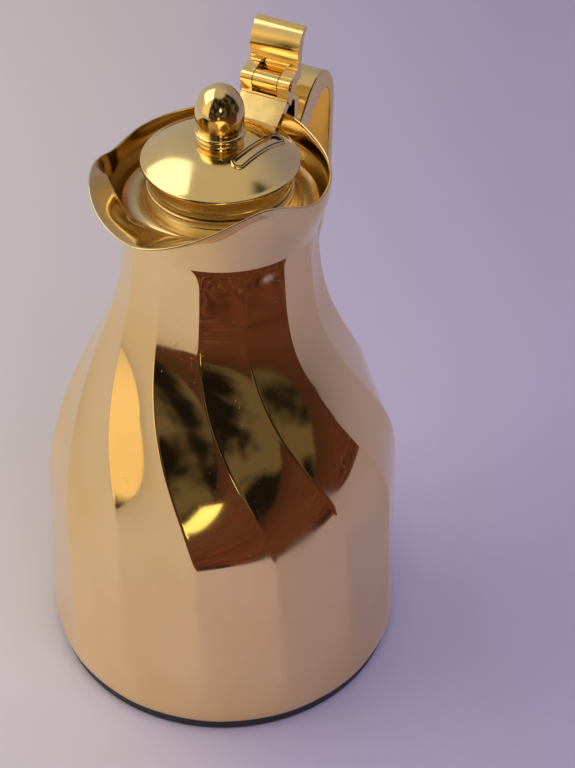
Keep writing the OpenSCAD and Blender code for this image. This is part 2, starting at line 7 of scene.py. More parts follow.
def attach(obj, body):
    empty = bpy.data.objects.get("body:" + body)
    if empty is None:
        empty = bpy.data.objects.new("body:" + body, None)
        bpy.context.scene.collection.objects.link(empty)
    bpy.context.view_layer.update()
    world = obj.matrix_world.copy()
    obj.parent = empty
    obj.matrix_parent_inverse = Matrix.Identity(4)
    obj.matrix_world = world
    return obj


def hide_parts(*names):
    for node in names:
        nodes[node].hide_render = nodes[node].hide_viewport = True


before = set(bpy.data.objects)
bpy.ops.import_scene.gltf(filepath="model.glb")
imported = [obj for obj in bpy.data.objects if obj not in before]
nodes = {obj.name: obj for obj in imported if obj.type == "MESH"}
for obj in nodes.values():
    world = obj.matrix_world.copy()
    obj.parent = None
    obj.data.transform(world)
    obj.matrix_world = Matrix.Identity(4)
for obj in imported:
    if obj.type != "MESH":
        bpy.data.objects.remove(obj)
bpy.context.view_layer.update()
mm = 0.001

# ---- foot ring, base plug and rubber parts ----
# The jug stands on a ring of black moulded plastic that is pushed into the shell's bottom edge.
# A bayonet plug of the same plastic closes its middle, with a grey rubber ring round it; the cup
# under the flask and the gasket round its mouth are black rubber.


def new_material(name, colour, roughness, metallic=0.0):
    """A material with a plain shader, and its node tree."""
    finish = bpy.data.materials.new(name)
    finish.use_nodes = True
    tree = finish.node_tree
    shader = tree.nodes["Principled BSDF"]
    shader.inputs["Base Color"].default_value = (*colour, 1)
    shader.inputs["Roughness"].default_value = roughness
    shader.inputs["Metallic"].default_value = metallic
    return finish, tree, shader


def noise_on_object(tree, scale, detail=3.0, stretch=(1, 1, 1)):
    """A noise texture that is fixed to the piece, stretched along its axes."""
    place = tree.nodes.new("ShaderNodeTexCoord")
    turn = tree.nodes.new("ShaderNodeMapping")
    turn.inputs["Scale"].default_value = stretch
    noise = tree.nodes.new("ShaderNodeTexNoise")
    noise.inputs["Scale"].default_value = scale
    noise.inputs["Detail"].default_value = detail
    tree.links.new(place.outputs["Object"], turn.inputs["Vector"])
    tree.links.new(turn.outputs["Vector"], noise.inputs["Vector"])
    return noise


def ramp_from(tree, source, stops):
    """A colour ramp read from a texture; each stop is a place and a grey or a colour."""
    ramp = tree.nodes.new("ShaderNodeValToRGB")
    while len(ramp.color_ramp.elements) < len(stops):
        ramp.color_ramp.elements.new(0.5)
    for element, (place, value) in zip(ramp.color_ramp.elements, stops):
        element.position = place
        colour = value if isinstance(value, tuple) else (value, value, value)
        element.color = (*colour, 1)
    tree.links.new(source, ramp.inputs["Fac"])
    return ramp.outputs["Color"]


def add_bump(tree, shader, height, strength, distance):
    """Adds one more layer of bump in front of the shader's normal."""
    bump = tree.nodes.new("ShaderNodeBump")
    bump.inputs["Strength"].default_value = strength
    bump.inputs["Distance"].default_value = distance
    tree.links.new(height, bump.inputs["Height"])
    if shader.inputs["Normal"].is_linked:
        tree.links.new(shader.inputs["Normal"].links[0].from_socket, bump.inputs["Normal"])
    tree.links.new(bump.outputs["Normal"], shader.inputs["Normal"])


def moulded(name, dark, light, roughness, grain):
    """Moulded plastic or rubber: a fine grain, and wear that is a little lighter and duller."""
    finish, tree, shader = new_material(name, dark, roughness)
    wear = noise_on_object(tree, 60, 5)
    tree.links.new(ramp_from(tree, wear.outputs["Fac"], [(0.35, dark), (0.75, light)]),
                   shader.inputs["Base Color"])
    tree.links.new(ramp_from(tree, wear.outputs["Fac"], [(0.3, roughness - 0.08),
                                                         (0.8, roughness + 0.12)]),
                   shader.inputs["Roughness"])
    fine = noise_on_object(tree, grain, 2)
    add_bump(tree, shader, fine.outputs["Fac"], 0.25, 0.0002)
    return finish


def paint(node, finish):
    """Gives a carried-over node its material."""
    nodes[node].data.materials.clear()
    nodes[node].data.materials.append(finish)


foot_plastic = moulded("black_foot_plastic", (0.008, 0.008, 0.009), (0.03, 0.03, 0.033), 0.42, 2500)
black_rubber = moulded("black_rubber", (0.012, 0.012, 0.012), (0.04, 0.038, 0.036), 0.68, 1600)
grey_rubber = moulded("grey_rubber", (0.12, 0.12, 0.125), (0.2, 0.2, 0.2), 0.62, 1600)
paint("base_ring", foot_plastic)
paint("base_plug", foot_plastic)
paint("plug_seal", grey_rubber)
paint("liner_cushion", black_rubber)
paint("neck_gasket", black_rubber)

# ---- glass flask ----
# A double-walled glass flask stands on a rubber cup. Its walls are silvered on the vacuum side,
# so it looks like a soft mirror with slow ripples from blowing.


def silvered(name):
    """Silvered glass: nearly white mirror with a slow ripple."""
    finish, tree, shader = new_material(name, (0.82, 0.84, 0.86), 0.06, 1.0)
    ripple = noise_on_object(tree, 40, 2)
    tree.links.new(ramp_from(tree, ripple.outputs["Fac"], [(0.3, (0.78, 0.8, 0.83)),
                                                           (0.7, (0.88, 0.89, 0.9))]),
                   shader.inputs["Base Color"])
    add_bump(tree, shader, ripple.outputs["Fac"], 0.3, 0.0006)
    shader.inputs["Coat Weight"].default_value = 0.6
    shader.inputs["Coat Roughness"].default_value = 0.02
    return finish


flask_glass = silvered("silvered_glass")
paint("liner_outer", flask_glass)
paint("liner_inner", flask_glass)

# ---- screws, washers, studs and nut ----
# Zinc-plated steel, hidden inside the shell and the lid: they hold the handle, the hinge
# bracket and the knob.
zinc, zinc_tree, zinc_shader = new_material("zinc_steel", (0.62, 0.62, 0.63), 0.32, 1.0)
zinc_cloud = noise_on_object(zinc_tree, 300, 4)
zinc_tree.links.new(ramp_from(zinc_tree, zinc_cloud.outputs["Fac"], [(0.3, 0.24), (0.75, 0.42)]),
                    zinc_shader.inputs["Roughness"])
add_bump(zinc_tree, zinc_shader, zinc_cloud.outputs["Fac"], 0.15, 0.0002)
for hidden in ("handle_screws", "handle_washers", "bracket_screws", "knob_stud", "stud_nut"):
    paint(hidden, zinc)

# ---- body shell ----
# One sheet of brass is drawn into fourteen flat gores whose creases swing round through the
# shoulder, then polished and gold-plated to a mirror. Its bottom edge curls in over the foot.
gores = 14
columns = 4 * gores
shell_t = 1.0
crease_phase = 195.4
belly_r, shoulder_r, neck_low_r, neck_top_r = 76.0, 73.5, 39.0, 35.6
shoulder_low, shoulder_high, neck_line, collar_z = 80.0, 190.0, 180.0, 213.0
foot_h, edge_in, edge_h = 4.5, 3.0, 8.0
twist, drift = 29.0, 4.0
neck_end_r = 35.4


def clamp(value):
    return min(1.0, max(0.0, value))


def smooth(value):
    value = clamp(value)
    return value * value * (3 - 2 * value)


def mix(a, b, share):
    return a + (b - a) * share


def shell_radius(z):
    """Radius over the creases at a height, in millimetres."""
    belly = mix(belly_r, shoulder_r, clamp((z - 12) / (shoulder_low - 12)))
    neck = mix(neck_low_r, neck_top_r, (z - neck_line) / (collar_z - neck_line))
    curl = edge_in * (1 - math.sqrt(1 - clamp((foot_h + edge_h - z) / edge_h) ** 2))
    return mix(neck, belly, smooth((shoulder_high - z) / (shoulder_high - shoulder_low))) - curl


def crease_turn(z):
    """How far the creases have swung round at a height, in degrees."""
    swing = smooth((shoulder_high - 9 - z) / (shoulder_high - shoulder_low - 18))
    return twist * swing + drift * clamp((shoulder_low - z) / shoulder_low)


def flatness(z):
    """1 where the gores are flat, falling to 0 at the round bottom edge and the round neck."""
    return smooth((z - foot_h - 2) / 18) * smooth((collar_z - 2 - z) / 10)


def crispness(z):
    """How sharp the creases are at a height."""
    low = mix(0.3, 0.5, clamp((z - 20) / 60))
    return mix(low, 0.95, smooth((z - 78) / 40)) * smooth((collar_z - 3 - z) / 8) * clamp((z - 12) / 12)


def easing(z):
    """Share of a gore's width that its rounding takes up beside each crease."""
    return mix(0.2, 0.1, smooth((z - 70) / 50))


def alone():
    """Deselects everything, so that an operator acts on the next piece only."""
    if bpy.context.object and bpy.context.object.mode != "OBJECT":
        bpy.ops.object.mode_set(mode="OBJECT")
    bpy.ops.object.select_all(action="DESELECT")


def pick(piece):
    """Makes one piece the only selected and the active one."""
    alone()
    bpy.context.view_layer.objects.active = piece
    piece.select_set(True)


def apply_modifier(piece, kind, **settings):
    """Adds one modifier with its settings and applies it."""
    pick(piece)
    added = piece.modifiers.new(kind.lower(), kind)
    for key, value in settings.items():
        setattr(added, key, value)
    bpy.ops.object.modifier_apply(modifier=added.name)


def smooth_shading(piece, angle=35):
    """Smooth shading with sharp edges kept above an angle."""
    pick(piece)
    bpy.ops.object.shade_smooth_by_angle(angle=math.radians(angle))


def ringed_tube(name, count, rings):
    """A tube that is drawn up ring by ring from a circle; rings holds one list of points per ring."""
    alone()
    bpy.ops.mesh.primitive_circle_add(vertices=count, radius=0.05, location=(0, 0, 0))
    piece = bpy.context.object
    piece.name = piece.data.name = name
    bpy.ops.object.mode_set(mode="EDIT")
    bpy.ops.mesh.select_all(action="SELECT")
    for _ in rings[1:]:
        bpy.ops.mesh.extrude_edges_move(TRANSFORM_OT_translate={"value": (0, 0, 0.001)})
    bpy.ops.object.mode_set(mode="OBJECT")
    # the rings are told apart by their height and the columns by their direction, then each
    # point goes to its own place
    step = math.tau / count
    for vertex in piece.data.vertices:
        level = round(vertex.co.z / 0.001)
        column = round((math.atan2(vertex.co.y, vertex.co.x) - math.pi / 2) / step) % count
        vertex.co = rings[level][column]
    piece.data.update()
    return piece


def merge_doubles(piece):
    """Merges points that fell together and recalculates the normals."""
    pick(piece)
    bpy.ops.object.mode_set(mode="EDIT")
    bpy.ops.mesh.select_all(action="SELECT")
    bpy.ops.mesh.remove_doubles(threshold=1e-6)
    bpy.ops.mesh.normals_make_consistent(inside=False)
    bpy.ops.object.mode_set(mode="OBJECT")


def crease_edges(piece, weight_of):
    """Gives each edge the crease weight that weight_of says for its two ends."""
    creases = piece.data.attributes.get("crease_edge")
    if creases is None:
        creases = piece.data.attributes.new("crease_edge", "FLOAT", "EDGE")
    for edge in piece.data.edges:
        a, b = (piece.data.vertices[i].co for i in edge.vertices)
        creases.data[edge.index].value = weight_of(a, b)


shell_heights = [4.5, 4.9, 6.0, 8.0, 11.0, 15, 20, 26, 34, 44, 54, 64, 72, 79, 85, 91, 97, 103, 109,
                 116, 123, 131, 140, 149, 158, 167, 176, 184, 191, 197, 203, 208, 211, 213.5, 215.9]
half_gore = math.pi / gores
shell_rings = []
for z in shell_heights:
    row = []
    for column in range(columns):
        share = (0, easing(z), 0.5, 1 - easing(z))[column % 4]
        turn_in = (share * 2 - 1) * half_gore
        direction = math.radians(crease_phase + crease_turn(z)) + (column // 4 * 2 + share * 2) * half_gore
        radius = min(shell_radius(z), neck_end_r) if z > collar_z else shell_radius(z)
        flat = radius * math.cos(half_gore) / math.cos(turn_in)
        radius = mix(radius, flat, flatness(z))
        row.append((radius * math.cos(direction) * mm, radius * math.sin(direction) * mm, z * mm))
    shell_rings.append(row)
shell = ringed_tube("body_shell_drawn", columns, shell_rings)


def shell_crease(a, b):
    """Sharp along the creases, soft everywhere else, and square at the two open edges."""
    z = (a.z + b.z) / 2 / mm
    if abs(a.z - b.z) < 1e-6:
        return 1.0 if z < 4.6 or z > 215.8 else 0.0
    turned = math.degrees(math.atan2(a.y, a.x)) - crease_phase - crease_turn(a.z / mm)
    on_crease = abs((turned / (360 / gores) + 0.5) % 1 - 0.5) < 0.04
    return crispness(z) if on_crease else 0.0


crease_edges(shell, shell_crease)
merge_doubles(shell)
apply_modifier(shell, "SUBSURF", levels=2, render_levels=2)
apply_modifier(shell, "SOLIDIFY", thickness=shell_t * mm, offset=-1, use_rim=True)
smooth_shading(shell, 40)


def mirror_gold(name, deep, pale, roughness, ripple, rub_scale, stretch=(1, 1, 1)):
    """Gold plate on polished brass: a warm mirror with slow ripples from the polishing wheel,
    rub marks that dull it, thin scratches, and specks of dust and pits."""
    finish, tree, shader = new_material(name, pale, roughness, 1.0)
    cloud = noise_on_object(tree, 22, 4)
    tree.links.new(ramp_from(tree, cloud.outputs["Fac"], [(0.3, deep), (0.7, pale)]),
                   shader.inputs["Base Color"])
    rubs = noise_on_object(tree, rub_scale, 6, stretch)
    tree.links.new(ramp_from(tree, rubs.outputs["Fac"], [(0.42, roughness), (0.6, roughness + 0.05),
                                                         (0.78, roughness + 0.16)]),
                   shader.inputs["Roughness"])
    slow = noise_on_object(tree, 45, 1)
    add_bump(tree, shader, slow.outputs["Fac"], ripple, 0.0006)
    scratches = noise_on_object(tree, 900, 2, (1, 1, 0.04))
    thin = ramp_from(tree, scratches.outputs["Fac"], [(0.70, 0.0), (0.74, 1.0), (0.78, 0.0)])
    add_bump(tree, shader, thin, 0.05, 0.0001)
    place = tree.nodes.new("ShaderNodeTexCoord")
    specks = tree.nodes.new("ShaderNodeTexVoronoi")
    specks.inputs["Scale"].default_value = 260
    tree.links.new(place.outputs["Object"], specks.inputs["Vector"])
    pits = ramp_from(tree, specks.outputs["Distance"], [(0.0, 0.0), (0.045, 0.0), (0.075, 1.0)])
    add_bump(tree, shader, pits, 0.25, 0.0001)
    return finish


gold_deep = (0.91, 0.64, 0.29)
gold_pale = (0.98, 0.73, 0.38)
body_gold = mirror_gold("gold_body", gold_deep, gold_pale, 0.035, 0.12, 30, (1, 1, 0.35))
shell.data.materials.append(body_gold)
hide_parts("body_shell")
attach(shell, "jug")

# ---- collar ----
# A spun brass funnel over the neck. It flares at a crease into a broad pouring lip towards the
# spout, with two raised wings beside it, and its edge is rolled to a thin bright bead.
collar_steps = 96
collar_wall = 1.2
crease_r, crease_z = 40.7, 226.0
rim_side_r, rim_back_r, lip_reach = 41.5, 38.0, 63.0
bead = 0.6
lip_spread = 70
wing_angle, wing_spread, wing_h = 42, 48, 10
brim_out, brim_up, wing_out, wing_flare = 1.2, 3.3, 3.2, 4.5


def hump(off, spread):
    """1 in the middle of a swelling, falling to 0 at its spread in degrees."""
    return math.cos(math.radians(90 * off / spread)) ** 2 if abs(off) < spread else 0.0


def lip_share(angle):
    return hump(angle, lip_spread)


def wing_share(angle):
    return hump(abs(abs(angle) - wing_angle), wing_spread)


def rim_radius(angle):
    return (rim_side_r + (lip_reach - rim_side_r) * lip_share(angle)
            - (rim_side_r - rim_back_r) * smooth((abs(angle) - 100) / 50))


def rim_height(angle):
    turn = math.radians(angle)
    return (collar_z + 22.6 - 1.5 * math.cos(turn) + 2.4 * math.cos(2 * turn)
            + wing_h * wing_share(angle))


def brim(angle):
    """1 round the lip, where the crease stands out as a brim, and 0 at the sides and back."""
    return smooth((72 - abs(angle)) / 24)


def climb(angle):
    """How far the crease has climbed into a wing."""
    return smooth((abs(angle) - 18) / 32)


def crease_place(angle):
    """Radius and height of the collar's crease."""
    wing_rise = rim_height(angle) - crease_z - wing_flare
    return (crease_r + brim(angle) * mix(brim_out, wing_out, climb(angle)),
            crease_z + brim(angle) * mix(brim_up, wing_rise, climb(angle)))


def collar_section(angle):
    """The collar's section at an angle from the spout: up the outside, over the bead, down inside."""
    out_r, out_z = rim_radius(angle), rim_height(angle)
    c_r, c_z = crease_place(angle)
    run, rise = out_r - c_r, out_z - c_z
    length = math.hypot(run, rise)
    along = (run / length, rise / length)
    across = (-along[1], along[0])

    def brim_point(share, bend, depth):
        return (c_r + run * share + across[0] * depth, c_z + rise * (share - bend) + across[1] * depth)

    edge = (out_r - along[0] * bead, out_z - along[1] * bead)
    tip = (edge[0] + across[0] * collar_wall / 2 + along[0] * bead,
           edge[1] + across[1] * collar_wall / 2 + along[1] * bead)
    inner = (edge[0] + across[0] * collar_wall, edge[1] + across[1] * collar_wall)
    in_r, in_z = c_r - collar_wall, c_z + across[1] * collar_wall / 2
    sharp = brim(angle)
    return [(37.0, 213.0), (37.25, 214.0), (38.85, 219.5), (mix(38.85, c_r, 0.8), mix(219.5, c_z, 0.75)),
            (c_r, c_z), brim_point(0.25, 0.03, 0), brim_point(0.55, 0.05, 0), brim_point(0.85, 0.02, 0),
            edge, tip, inner,
            brim_point(0.85, 0.02, collar_wall), brim_point(0.55, 0.05, collar_wall),
            (mix(in_r, c_r + run * 0.55, 0.2), mix(in_z, c_z + rise * 0.5, 0.2) + 0.15),
            (in_r + 0.25, in_z + 0.25), (in_r - 0.25 * sharp, in_z - 0.25 - 0.75 * sharp),
            (in_r - 0.35 * sharp - 0.1, in_z - 0.6 - 1.0 * sharp),
            (mix(36.75, in_r, 0.45) + 0.6, mix(216.2, in_z, 0.4)),
            (36.75, 216.2), (35.9, 216.0), (35.8, 213.0)]


collar_rings = [[] for _ in collar_section(0)]
for step in range(collar_steps):
    angle = step * 360 / collar_steps
    angle = angle - 360 if angle > 180 else angle
    direction = math.radians(180 + angle)
    for ring, (radius, height) in zip(collar_rings, collar_section(angle)):
        ring.append((radius * math.cos(direction) * mm, radius * math.sin(direction) * mm, height * mm))
collar_rings.append(collar_rings[0])
collar = ringed_tube("collar_spun", collar_steps, collar_rings)


merge_doubles(collar)

ring_of = {}
for level, ring in enumerate(collar_rings[:-1]):
    for point in ring:
        ring_of[tuple(round(value * 1e5) for value in point)] = level
# how sharp each ring of the section is: ring 4 is the crease outside, rings 14 and 15 the one inside
ring_sharpness = {0: 0.9, 4: 0.45, 14: 0.8, 15: 0.8, 18: 0.6, 19: 0.6, 20: 0.9}


def collar_crease(a, b):
    """The crease inside the lip is sharp, the one outside is soft; both die out towards the back."""
    levels = {ring_of.get(tuple(round(value * 1e5) for value in end)) for end in (a, b)}
    if len(levels) > 1 or None in levels:
        return 0.0
    level = levels.pop()
    angle = math.degrees(math.atan2(-a.y, -a.x))
    return ring_sharpness.get(level, 0.0) * (brim(angle) if level in (4, 14, 15) else 1.0)


crease_edges(collar, collar_crease)
inner_side = collar.data.attributes.new("inside", "FLOAT", "POINT")
for vertex in collar.data.vertices:
    level = ring_of.get(tuple(round(value * 1e5) for value in vertex.co), 0)
    inner_side.data[vertex.index].value = 1.0 if level > 13 else 0.0
apply_modifier(collar, "SUBSURF", levels=2, render_levels=2)
smooth_shading(collar, 50)
collar_gold = mirror_gold("gold_collar", (0.88, 0.64, 0.27), (0.96, 0.73, 0.35), 0.07, 0.22, 55)
collar_tree = collar_gold.node_tree
collar_shader = collar_tree.nodes["Principled BSDF"]
inside = collar_tree.nodes.new("ShaderNodeAttribute")
inside.attribute_name = "inside"
duller = collar_tree.nodes.new("ShaderNodeMath")
duller.operation = "MULTIPLY_ADD"
duller.inputs[1].default_value = 0.2
collar_tree.links.new(inside.outputs["Fac"], duller.inputs[0])
collar_tree.links.new(collar_shader.inputs["Roughness"].links[0].from_socket, duller.inputs[2])
collar_tree.links.new(duller.outputs[0], collar_shader.inputs["Roughness"])
collar.data.materials.append(collar_gold)
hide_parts("collar")
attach(collar, "jug")

# ---- bowl floor and pouring ring ----
# One turned and plated brass piece: a sleeve down into the flask's mouth, a raised lip that the
# lid closes over, and a dished floor that runs out to the collar.


def turned(name, outline, steps=160):
    """Turns a closed half-section of (radius, height) points, in millimetres, about the axis."""
    alone()
    bpy.ops.mesh.primitive_circle_add(vertices=len(outline), radius=0.01, location=(0, 0, 0))
    piece = bpy.context.object
    piece.name = piece.data.name = name
    for vertex, (radius, height) in zip(piece.data.vertices, outline):
        vertex.co = (radius * mm, 0, height * mm)
    bpy.ops.object.mode_set(mode="EDIT")
    bpy.ops.mesh.select_all(action="SELECT")
    bpy.ops.mesh.spin(steps=steps, angle=math.tau, center=(0, 0, 0), axis=(0, 0, 1))
    bpy.ops.object.mode_set(mode="OBJECT")
    merge_doubles(piece)
    return piece


def ease_edges(piece, width, segments=3, angle=32):
    """Rounds every edge that is sharper than an angle, as polishing does."""
    apply_modifier(piece, "BEVEL", width=width * mm, segments=segments, limit_method="ANGLE",
                   angle_limit=math.radians(angle))
    smooth_shading(piece, 45)
    apply_modifier(piece, "WEIGHTED_NORMAL", weight=80, keep_sharp=True)


def arc_points(cx, cz, radius, start, end, count):
    """Points on an arc in the half-section, angles in degrees."""
    return [(cx + radius * math.cos(math.radians(mix(start, end, i / count))),
             cz + radius * math.sin(math.radians(mix(start, end, i / count))))
            for i in range(count + 1)]


ring_outline = ([(21.0, 200.0), (22.2, 200.0), (22.2, 214.0), (28.5, 214.0), (28.5, 216.0),
                 (36.4, 216.0), (36.4, 220.6)]
                + arc_points(31.4, 225.5, 7.0, -44, -100, 8)
                + [(28.6, 219.4), (27.9, 220.2), (27.5, 221.4), (27.5, 224.6), (27.15, 225.0),
                   (27.15, 225.5), (27.5, 225.9), (27.5, 227.1)]
                + arc_points(26.9, 227.1, 0.6, 0, 90, 4)
                + [(21.9, 227.7)] + arc_points(21.9, 226.8, 0.9, 90, 180, 4))
pouring_ring = turned("pouring_ring_turned", ring_outline)
ease_edges(pouring_ring, 0.12, 2)
inner_gold = mirror_gold("gold_inner", (0.9, 0.69, 0.34), (0.96, 0.78, 0.44), 0.27, 0.15, 70)
pouring_ring.data.materials.append(inner_gold)
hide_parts("pouring_ring")
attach(pouring_ring, "jug")

# ---- handle ----
# A cast brass strap: flat on its sides, deep at the crown and thin at the grip, with every edge
# rounded by polishing. Screws from inside the shell hold both its ends.


def bezier(p, q, r, s, count):
    """Points on a cubic curve from p to s, without its last one."""
    points = []
    for i in range(count):
        t = i / count
        u = 1 - t
        points.append(tuple(p[k] * u ** 3 + q[k] * 3 * u * u * t + r[k] * 3 * u * t * t + s[k] * t ** 3
                            for k in (0, 1)))
    return points


def strap(name, outline, half_width, low_y=None):
    """A plate whose side view is the outline, in millimetres, filled and drawn out along Y."""
    low_y = -half_width if low_y is None else low_y
    alone()
    bpy.ops.mesh.primitive_circle_add(vertices=len(outline), radius=0.01, location=(0, 0, 0))
    piece = bpy.context.object
    piece.name = piece.data.name = name
    for vertex, (x, z) in zip(piece.data.vertices, outline):
        vertex.co = (x * mm, low_y * mm, z * mm)
    bpy.ops.object.mode_set(mode="EDIT")
    bpy.ops.mesh.select_all(action="SELECT")
    bpy.ops.mesh.edge_face_add()
    bpy.ops.mesh.extrude_region_move(
        TRANSFORM_OT_translate={"value": (0, (half_width - low_y) * mm, 0)})
    bpy.ops.mesh.select_all(action="SELECT")
    bpy.ops.mesh.normals_make_consistent(inside=False)
    bpy.ops.object.mode_set(mode="OBJECT")
    return piece


handle_half, handle_reach, grip_t = 8.5, 82.0, 3.6
crown_x, crown_z = handle_reach - 15, collar_z + 26.5
root_x, seat_top = 41.0, collar_z + 13
plate_x, plate_t = 42.6, 3.0
handle_low = 140.0
foot_x = shell_radius(handle_low)
handle_outline = (
    [(root_x - 0.2, seat_top)]
    + bezier((plate_x + plate_t + 1, seat_top), (plate_x + 11, seat_top), (crown_x - 9, crown_z),
             (crown_x, crown_z), 16)
    + bezier((crown_x, crown_z), (crown_x + 8, crown_z), (handle_reach, crown_z - 7),
             (handle_reach, crown_z - 18), 14)
    + bezier((handle_reach, crown_z - 18), (handle_reach, collar_z - 14),
             (handle_reach, collar_z - 17), (handle_reach, collar_z - 21), 3)
    + bezier((handle_reach, collar_z - 21), (handle_reach, collar_z - 37),
             (foot_x + 17, handle_low + 19), (foot_x + 8, handle_low + 6), 14)
    + [(foot_x + 8, handle_low + 6), (foot_x + 4.5, handle_low - 3.5), (foot_x + 2.6, handle_low - 7),
       (foot_x + 1.6, handle_low - 8.2), (foot_x - 1.5, handle_low - 8.2)]
    + [(foot_x - 6.5, handle_low + 14)]
    + bezier((foot_x + 1, handle_low + 14), (foot_x + 8, handle_low + 22),
             (handle_reach - grip_t, collar_z - 35), (handle_reach - grip_t, collar_z - 20), 14)
    + [(handle_reach - grip_t, collar_z - 20)]
    + bezier((handle_reach - grip_t, crown_z - 22), (handle_reach - grip_t, crown_z - 14),
             (crown_x + 10, crown_z - 9), (crown_x + 5, crown_z - 9.6), 12)
    + bezier((crown_x + 5, crown_z - 9.6), (crown_x - 6, crown_z - 12), (root_x + 12, collar_z + 1),
             (root_x + 2, collar_z - 9), 14)
    + [(root_x + 2, collar_z - 9), (neck_top_r + 0.6, collar_z - 9), (neck_top_r + 0.6, collar_z - 0.5),
       (37.6, collar_z - 0.5), (39.4, collar_z + 6.6)])
handle = strap("handle_cast", handle_outline, handle_half)
ease_edges(handle, 1.1, 4)
cast_gold = mirror_gold("gold_cast", (0.9, 0.64, 0.24), (0.97, 0.74, 0.33), 0.07, 0.25, 60)
handle.data.materials.append(cast_gold)
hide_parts("handle")
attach(handle, "jug")

# ---- hinge bracket and pin ----
# A cast plate stands on the handle's root behind the rim. A web from its top carries the middle
# knuckle, and a peened pin runs through the three knuckles.
pin_x, pin_z = 39.0, 249.0
knuckle_r, hinge_half, barrel_half = 3.5, 10.0, 5.0
side_gap = 0.3
plate_top = pin_z - 7.6


def rod(name, x, z, radius, low_y, high_y, vertices=48):
    """A round bar along Y between two places, in millimetres."""
    alone()
    bpy.ops.mesh.primitive_cylinder_add(vertices=vertices, radius=radius * mm,
                                        depth=(high_y - low_y) * mm,
                                        location=(x * mm, (high_y + low_y) / 2 * mm, z * mm),
                                        rotation=(math.pi / 2, 0, 0))
    piece = bpy.context.object
    piece.name = piece.data.name = name
    bpy.ops.object.transform_apply(location=True, rotation=True, scale=True)
    return piece


def united(name, pieces, cut_by=()):
    """Unites solid pieces into one closed solid, and cuts others out of it."""
    whole = pieces[0]
    for other in pieces[1:]:
        apply_modifier(whole, "BOOLEAN", operation="UNION", solver="EXACT", object=other)
        bpy.data.objects.remove(other)
    for other in cut_by:
        apply_modifier(whole, "BOOLEAN", operation="DIFFERENCE", solver="EXACT", object=other)
        bpy.data.objects.remove(other)
    whole.name = whole.data.name = name
    merge_doubles(whole)
    return whole


bracket = united("hinge_bracket_cast", [
    strap("bracket_plate", [(plate_x, seat_top), (plate_x + plate_t, seat_top),
                            (plate_x + plate_t, plate_top), (plate_x, plate_top)], hinge_half - 0.5),
    strap("bracket_web", [(pin_x - 0.9, pin_z - 2.5), (pin_x - 0.9, pin_z - 8.3),
                          (plate_x + 1, pin_z - 10.9), (plate_x + 1, plate_top - 0.4),
                          (pin_x + 0.9, plate_top - 0.2), (pin_x + 0.9, pin_z - 2)], barrel_half),
    rod("bracket_knuckle", pin_x, pin_z, knuckle_r, -barrel_half, barrel_half)],
    [rod("pin_hole", pin_x, pin_z, 1.55, -hinge_half, hinge_half)])
ease_edges(bracket, 0.35, 3)
bracket.data.materials.append(cast_gold)
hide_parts("hinge_bracket")
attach(bracket, "jug")

pin_parts = [rod("pin_shank", pin_x, pin_z, 1.5, -hinge_half - 0.35, hinge_half + 0.35)]
for low_y, high_y in ((-hinge_half - 0.7, -hinge_half), (hinge_half, hinge_half + 0.7)):
    pin_parts.append(rod("pin_head", pin_x, pin_z, 2.2, low_y, high_y, 40))
hinge_pin = united("hinge_pin_peened", pin_parts)
ease_edges(hinge_pin, 0.3, 4)
hinge_pin.data.materials.append(cast_gold)
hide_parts("hinge_pin")
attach(hinge_pin, "lid")

# ---- lid disc ----
# A shallow cone of turned brass with a thin rolled edge, plated and polished. The knob's foot
# sits on its middle.
lid_r, lid_z, lid_edge, lid_rise = 29.3, 237.0, 1.8, 7.6
knob_r, knob_dome, knob_seat = 9.0, 11.0, 245.5


def cone_height(radius):
    """Height of the lid's upper face at a radius, in millimetres."""
    t = clamp((lid_r - lid_edge / 2 - radius) / (lid_r - lid_edge / 2 - knob_r))
    return lid_z + lid_edge / 2 + lid_rise * (t + 0.22 * math.sin(math.pi * t))


cone_radii = [lid_r - lid_edge / 2 - 0.35 - i * (lid_r - lid_edge / 2 - 0.35 - knob_r) / 28
              for i in range(29)]
disc_outline = ([(2.1, knob_seat - 1.2), (2.1, knob_seat)]
                + [(r, cone_height(r)) for r in reversed(cone_radii)]
                + arc_points(lid_r - lid_edge / 2, lid_z, lid_edge / 2, 78, -90, 12)
                + [(26.9, lid_z - lid_edge / 2), (26.6, lid_z - 0.3)]
                + [(r, cone_height(r) - 1.2) for r in cone_radii if r < 26.2])
lid_disc = turned("lid_disc_turned", disc_outline, 192)
smooth_shading(lid_disc, 45)
lid_gold = mirror_gold("gold_lid", (0.89, 0.66, 0.28), (0.97, 0.76, 0.37), 0.12, 0.2, 45)
lid_disc.data.materials.append(lid_gold)
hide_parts("lid_disc")
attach(lid_disc, "lid")

# ---- lid skirt ----
# A short ring under the disc, with a groove round it, that closes over the pouring ring.
skirt_outline = [(24.9, 228.0), (26.1, 228.0), (26.5, 228.4), (26.5, 230.2), (26.2, 230.6),
                 (26.2, 231.2), (26.5, 231.6), (26.5, 236.05), (24.9, 236.05)]
lid_ring = turned("lid_skirt_ring", skirt_outline)
ease_edges(lid_ring, 0.15, 2)
lid_ring.data.materials.append(inner_gold)
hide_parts("lid_ring")
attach(lid_ring, "lid")

# ---- stopper ----
# A glossy cream plastic cup under the lid, filled with rigid foam, with a milky silicone ring
# under its flange. They show when the lid is open.
cream_plastic = moulded("cream_plastic", (0.8, 0.76, 0.64), (0.86, 0.83, 0.73), 0.28, 900)
foam = moulded("white_foam", (0.85, 0.82, 0.74), (0.93, 0.91, 0.85), 0.8, 1200)
silicone = moulded("milky_silicone", (0.78, 0.78, 0.75), (0.86, 0.86, 0.84), 0.4, 1500)
paint("stopper_body", cream_plastic)
paint("stopper_foam", foam)
paint("stopper_seal", silicone)

